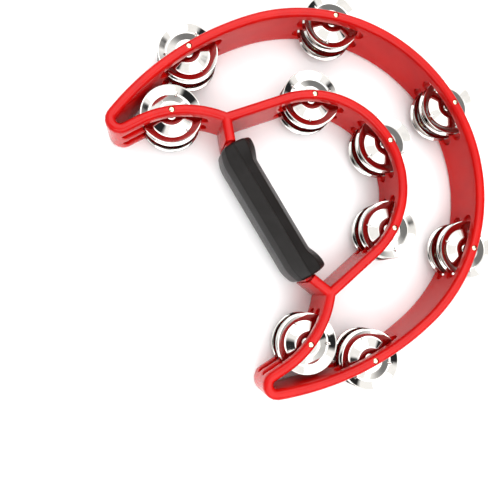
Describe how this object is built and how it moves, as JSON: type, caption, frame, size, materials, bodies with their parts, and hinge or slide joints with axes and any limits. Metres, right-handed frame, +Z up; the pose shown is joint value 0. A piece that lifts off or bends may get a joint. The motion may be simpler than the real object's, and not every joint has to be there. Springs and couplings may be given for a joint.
{
  "type": "tambourine",
  "caption": "Half-moon hand tambourine: red moulded crescent frame with two rows of paired metal jingles on pins, and a black two-shell grip on the handle bar.",
  "frame": {"origin": "under the middle of the bounding box, on the plane of the lower rim that the tambourine lies on", "axes": "+Z up along the jingle pins, X along the handle, +Y from the open side between the horns towards the crown"},
  "size_m": [0.2904, 0.251, 0.036],
  "materials": {
    "red_plastic": "glossy moulded ABS, bright red",
    "black_plastic": "satin moulded plastic, charcoal black",
    "nickel": "polished nickel plate on pressed steel",
    "steel": "plain bright steel pin"
  },
  "bodies": {
    "frame": {"frame": "red_plastic", "grip_finger_half": "black_plastic", "grip_palm_half": "black_plastic", "pin_outer_1": "steel", "pin_outer_2": "steel", "pin_outer_3": "steel", "pin_outer_4": "steel", "pin_outer_5": "steel", "pin_inner_1": "steel", "pin_inner_2": "steel", "pin_inner_3": "steel", "pin_inner_4": "steel", "pin_inner_5": "steel"},
    "jingle_outer_1_high_lower": {"jingle_outer_1_high_lower": "nickel"},
    "jingle_outer_1_high_upper": {"jingle_outer_1_high_upper": "nickel"},
    "jingle_outer_1_low_lower": {"jingle_outer_1_low_lower": "nickel"},
    "jingle_outer_1_low_upper": {"jingle_outer_1_low_upper": "nickel"},
    "jingle_outer_2_high_lower": {"jingle_outer_2_high_lower": "nickel"},
    "jingle_outer_2_high_upper": {"jingle_outer_2_high_upper": "nickel"},
    "jingle_outer_2_low_lower": {"jingle_outer_2_low_lower": "nickel"},
    "jingle_outer_2_low_upper": {"jingle_outer_2_low_upper": "nickel"},
    "jingle_outer_3_high_lower": {"jingle_outer_3_high_lower": "nickel"},
    "jingle_outer_3_high_upper": {"jingle_outer_3_high_upper": "nickel"},
    "jingle_outer_3_low_lower": {"jingle_outer_3_low_lower": "nickel"},
    "jingle_outer_3_low_upper": {"jingle_outer_3_low_upper": "nickel"},
    "jingle_outer_4_high_lower": {"jingle_outer_4_high_lower": "nickel"},
    "jingle_outer_4_high_upper": {"jingle_outer_4_high_upper": "nickel"},
    "jingle_outer_4_low_lower": {"jingle_outer_4_low_lower": "nickel"},
    "jingle_outer_4_low_upper": {"jingle_outer_4_low_upper": "nickel"},
    "jingle_outer_5_high_lower": {"jingle_outer_5_high_lower": "nickel"},
    "jingle_outer_5_high_upper": {"jingle_outer_5_high_upper": "nickel"},
    "jingle_outer_5_low_lower": {"jingle_outer_5_low_lower": "nickel"},
    "jingle_outer_5_low_upper": {"jingle_outer_5_low_upper": "nickel"},
    "jingle_inner_1_high_lower": {"jingle_inner_1_high_lower": "nickel"},
    "jingle_inner_1_high_upper": {"jingle_inner_1_high_upper": "nickel"},
    "jingle_inner_1_low_lower": {"jingle_inner_1_low_lower": "nickel"},
    "jingle_inner_1_low_upper": {"jingle_inner_1_low_upper": "nickel"},
    "jingle_inner_2_high_lower": {"jingle_inner_2_high_lower": "nickel"},
    "jingle_inner_2_high_upper": {"jingle_inner_2_high_upper": "nickel"},
    "jingle_inner_2_low_lower": {"jingle_inner_2_low_lower": "nickel"},
    "jingle_inner_2_low_upper": {"jingle_inner_2_low_upper": "nickel"},
    "jingle_inner_3_high_lower": {"jingle_inner_3_high_lower": "nickel"},
    "jingle_inner_3_high_upper": {"jingle_inner_3_high_upper": "nickel"},
    "jingle_inner_3_low_lower": {"jingle_inner_3_low_lower": "nickel"},
    "jingle_inner_3_low_upper": {"jingle_inner_3_low_upper": "nickel"},
    "jingle_inner_4_high_lower": {"jingle_inner_4_high_lower": "nickel"},
    "jingle_inner_4_high_upper": {"jingle_inner_4_high_upper": "nickel"},
    "jingle_inner_4_low_lower": {"jingle_inner_4_low_lower": "nickel"},
    "jingle_inner_4_low_upper": {"jingle_inner_4_low_upper": "nickel"},
    "jingle_inner_5_high_lower": {"jingle_inner_5_high_lower": "nickel"},
    "jingle_inner_5_high_upper": {"jingle_inner_5_high_upper": "nickel"},
    "jingle_inner_5_low_lower": {"jingle_inner_5_low_lower": "nickel"},
    "jingle_inner_5_low_upper": {"jingle_inner_5_low_upper": "nickel"}
  },
  "joints": [
    {"name": "spin_outer_1_high", "type": "hinge", "parent": "frame", "child": "jingle_outer_1_high_lower", "pos_m": [-0.1242, -0.05007, 0.018], "axis": [0, 0, 1], "continuous": true},
    {"name": "clap_outer_1_high", "type": "slide", "parent": "jingle_outer_1_high_lower", "child": "jingle_outer_1_high_upper", "axis": [0, 0, 1], "range_m": [0, 0.0017]},
    {"name": "spin_outer_1_low", "type": "hinge", "parent": "frame", "child": "jingle_outer_1_low_lower", "pos_m": [-0.1242, -0.05007, 0.018], "axis": [0, 0, 1], "continuous": true},
    {"name": "clap_outer_1_low", "type": "slide", "parent": "jingle_outer_1_low_lower", "child": "jingle_outer_1_low_upper", "axis": [0, 0, 1], "range_m": [0, 0.0017]},
    {"name": "spin_outer_2_high", "type": "hinge", "parent": "frame", "child": "jingle_outer_2_high_lower", "pos_m": [-0.0976, 0.05688, 0.018], "axis": [0, 0, 1], "continuous": true},
    {"name": "clap_outer_2_high", "type": "slide", "parent": "jingle_outer_2_high_lower", "child": "jingle_outer_2_high_upper", "axis": [0, 0, 1], "range_m": [0, 0.0017]},
    {"name": "spin_outer_2_low", "type": "hinge", "parent": "frame", "child": "jingle_outer_2_low_lower", "pos_m": [-0.0976, 0.05688, 0.018], "axis": [0, 0, 1], "continuous": true},
    {"name": "clap_outer_2_low", "type": "slide", "parent": "jingle_outer_2_low_lower", "child": "jingle_outer_2_low_upper", "axis": [0, 0, 1], "range_m": [0, 0.0017]},
    {"name": "spin_outer_3_high", "type": "hinge", "parent": "frame", "child": "jingle_outer_3_high_lower", "pos_m": [0, 0.10448, 0.018], "axis": [0, 0, 1], "continuous": true},
    {"name": "clap_outer_3_high", "type": "slide", "parent": "jingle_outer_3_high_lower", "child": "jingle_outer_3_high_upper", "axis": [0, 0, 1], "range_m": [0, 0.0017]},
    {"name": "spin_outer_3_low", "type": "hinge", "parent": "frame", "child": "jingle_outer_3_low_lower", "pos_m": [0, 0.10448, 0.018], "axis": [0, 0, 1], "continuous": true},
    {"name": "clap_outer_3_low", "type": "slide", "parent": "jingle_outer_3_low_lower", "child": "jingle_outer_3_low_upper", "axis": [0, 0, 1], "range_m": [0, 0.0017]},
    {"name": "spin_outer_4_high", "type": "hinge", "parent": "frame", "child": "jingle_outer_4_high_lower", "pos_m": [0.0976, 0.05688, 0.018], "axis": [0, 0, 1], "continuous": true},
    {"name": "clap_outer_4_high", "type": "slide", "parent": "jingle_outer_4_high_lower", "child": "jingle_outer_4_high_upper", "axis": [0, 0, 1], "range_m": [0, 0.0017]},
    {"name": "spin_outer_4_low", "type": "hinge", "parent": "frame", "child": "jingle_outer_4_low_lower", "pos_m": [0.0976, 0.05688, 0.018], "axis": [0, 0, 1], "continuous": true},
    {"name": "clap_outer_4_low", "type": "slide", "parent": "jingle_outer_4_low_lower", "child": "jingle_outer_4_low_upper", "axis": [0, 0, 1], "range_m": [0, 0.0017]},
    {"name": "spin_outer_5_high", "type": "hinge", "parent": "frame", "child": "jingle_outer_5_high_lower", "pos_m": [0.1242, -0.05007, 0.018], "axis": [0, 0, 1], "continuous": true},
    {"name": "clap_outer_5_high", "type": "slide", "parent": "jingle_outer_5_high_lower", "child": "jingle_outer_5_high_upper", "axis": [0, 0, 1], "range_m": [0, 0.0017]},
    {"name": "spin_outer_5_low", "type": "hinge", "parent": "frame", "child": "jingle_outer_5_low_lower", "pos_m": [0.1242, -0.05007, 0.018], "axis": [0, 0, 1], "continuous": true},
    {"name": "clap_outer_5_low", "type": "slide", "parent": "jingle_outer_5_low_lower", "child": "jingle_outer_5_low_upper", "axis": [0, 0, 1], "range_m": [0, 0.0017]},
    {"name": "spin_inner_1_high", "type": "hinge", "parent": "frame", "child": "jingle_inner_1_high_lower", "pos_m": [-0.09094, -0.08284, 0.018], "axis": [0, 0, 1], "continuous": true},
    {"name": "clap_inner_1_high", "type": "slide", "parent": "jingle_inner_1_high_lower", "child": "jingle_inner_1_high_upper", "axis": [0, 0, 1], "range_m": [0, 0.0017]},
    {"name": "spin_inner_1_low", "type": "hinge", "parent": "frame", "child": "jingle_inner_1_low_lower", "pos_m": [-0.09094, -0.08284, 0.018], "axis": [0, 0, 1], "continuous": true},
    {"name": "clap_inner_1_low", "type": "slide", "parent": "jingle_inner_1_low_lower", "child": "jingle_inner_1_low_upper", "axis": [0, 0, 1], "range_m": [0, 0.0017]},
    {"name": "spin_inner_2_high", "type": "hinge", "parent": "frame", "child": "jingle_inner_2_high_lower", "pos_m": [-0.05483, 0.01165, 0.018], "axis": [0, 0, 1], "continuous": true},
    {"name": "clap_inner_2_high", "type": "slide", "parent": "jingle_inner_2_high_lower", "child": "jingle_inner_2_high_upper", "axis": [0, 0, 1], "range_m": [0, 0.0017]},
    {"name": "spin_inner_2_low", "type": "hinge", "parent": "frame", "child": "jingle_inner_2_low_lower", "pos_m": [-0.05483, 0.01165, 0.018], "axis": [0, 0, 1], "continuous": true},
    {"name": "clap_inner_2_low", "type": "slide", "parent": "jingle_inner_2_low_lower", "child": "jingle_inner_2_low_upper", "axis": [0, 0, 1], "range_m": [0, 0.0017]},
    {"name": "spin_inner_3_high", "type": "hinge", "parent": "frame", "child": "jingle_inner_3_high_lower", "pos_m": [0, 0.04363, 0.018], "axis": [0, 0, 1], "continuous": true},
    {"name": "clap_inner_3_high", "type": "slide", "parent": "jingle_inner_3_high_lower", "child": "jingle_inner_3_high_upper", "axis": [0, 0, 1], "range_m": [0, 0.0017]},
    {"name": "spin_inner_3_low", "type": "hinge", "parent": "frame", "child": "jingle_inner_3_low_lower", "pos_m": [0, 0.04363, 0.018], "axis": [0, 0, 1], "continuous": true},
    {"name": "clap_inner_3_low", "type": "slide", "parent": "jingle_inner_3_low_lower", "child": "jingle_inner_3_low_upper", "axis": [0, 0, 1], "range_m": [0, 0.0017]},
    {"name": "spin_inner_4_high", "type": "hinge", "parent": "frame", "child": "jingle_inner_4_high_lower", "pos_m": [0.05483, 0.01165, 0.018], "axis": [0, 0, 1], "continuous": true},
    {"name": "clap_inner_4_high", "type": "slide", "parent": "jingle_inner_4_high_lower", "child": "jingle_inner_4_high_upper", "axis": [0, 0, 1], "range_m": [0, 0.0017]},
    {"name": "spin_inner_4_low", "type": "hinge", "parent": "frame", "child": "jingle_inner_4_low_lower", "pos_m": [0.05483, 0.01165, 0.018], "axis": [0, 0, 1], "continuous": true},
    {"name": "clap_inner_4_low", "type": "slide", "parent": "jingle_inner_4_low_lower", "child": "jingle_inner_4_low_upper", "axis": [0, 0, 1], "range_m": [0, 0.0017]},
    {"name": "spin_inner_5_high", "type": "hinge", "parent": "frame", "child": "jingle_inner_5_high_lower", "pos_m": [0.09094, -0.08284, 0.018], "axis": [0, 0, 1], "continuous": true},
    {"name": "clap_inner_5_high", "type": "slide", "parent": "jingle_inner_5_high_lower", "child": "jingle_inner_5_high_upper", "axis": [0, 0, 1], "range_m": [0, 0.0017]},
    {"name": "spin_inner_5_low", "type": "hinge", "parent": "frame", "child": "jingle_inner_5_low_lower", "pos_m": [0.09094, -0.08284, 0.018], "axis": [0, 0, 1], "continuous": true},
    {"name": "clap_inner_5_low", "type": "slide", "parent": "jingle_inner_5_low_lower", "child": "jingle_inner_5_low_upper", "axis": [0, 0, 1], "range_m": [0, 0.0017]}
  ]
}
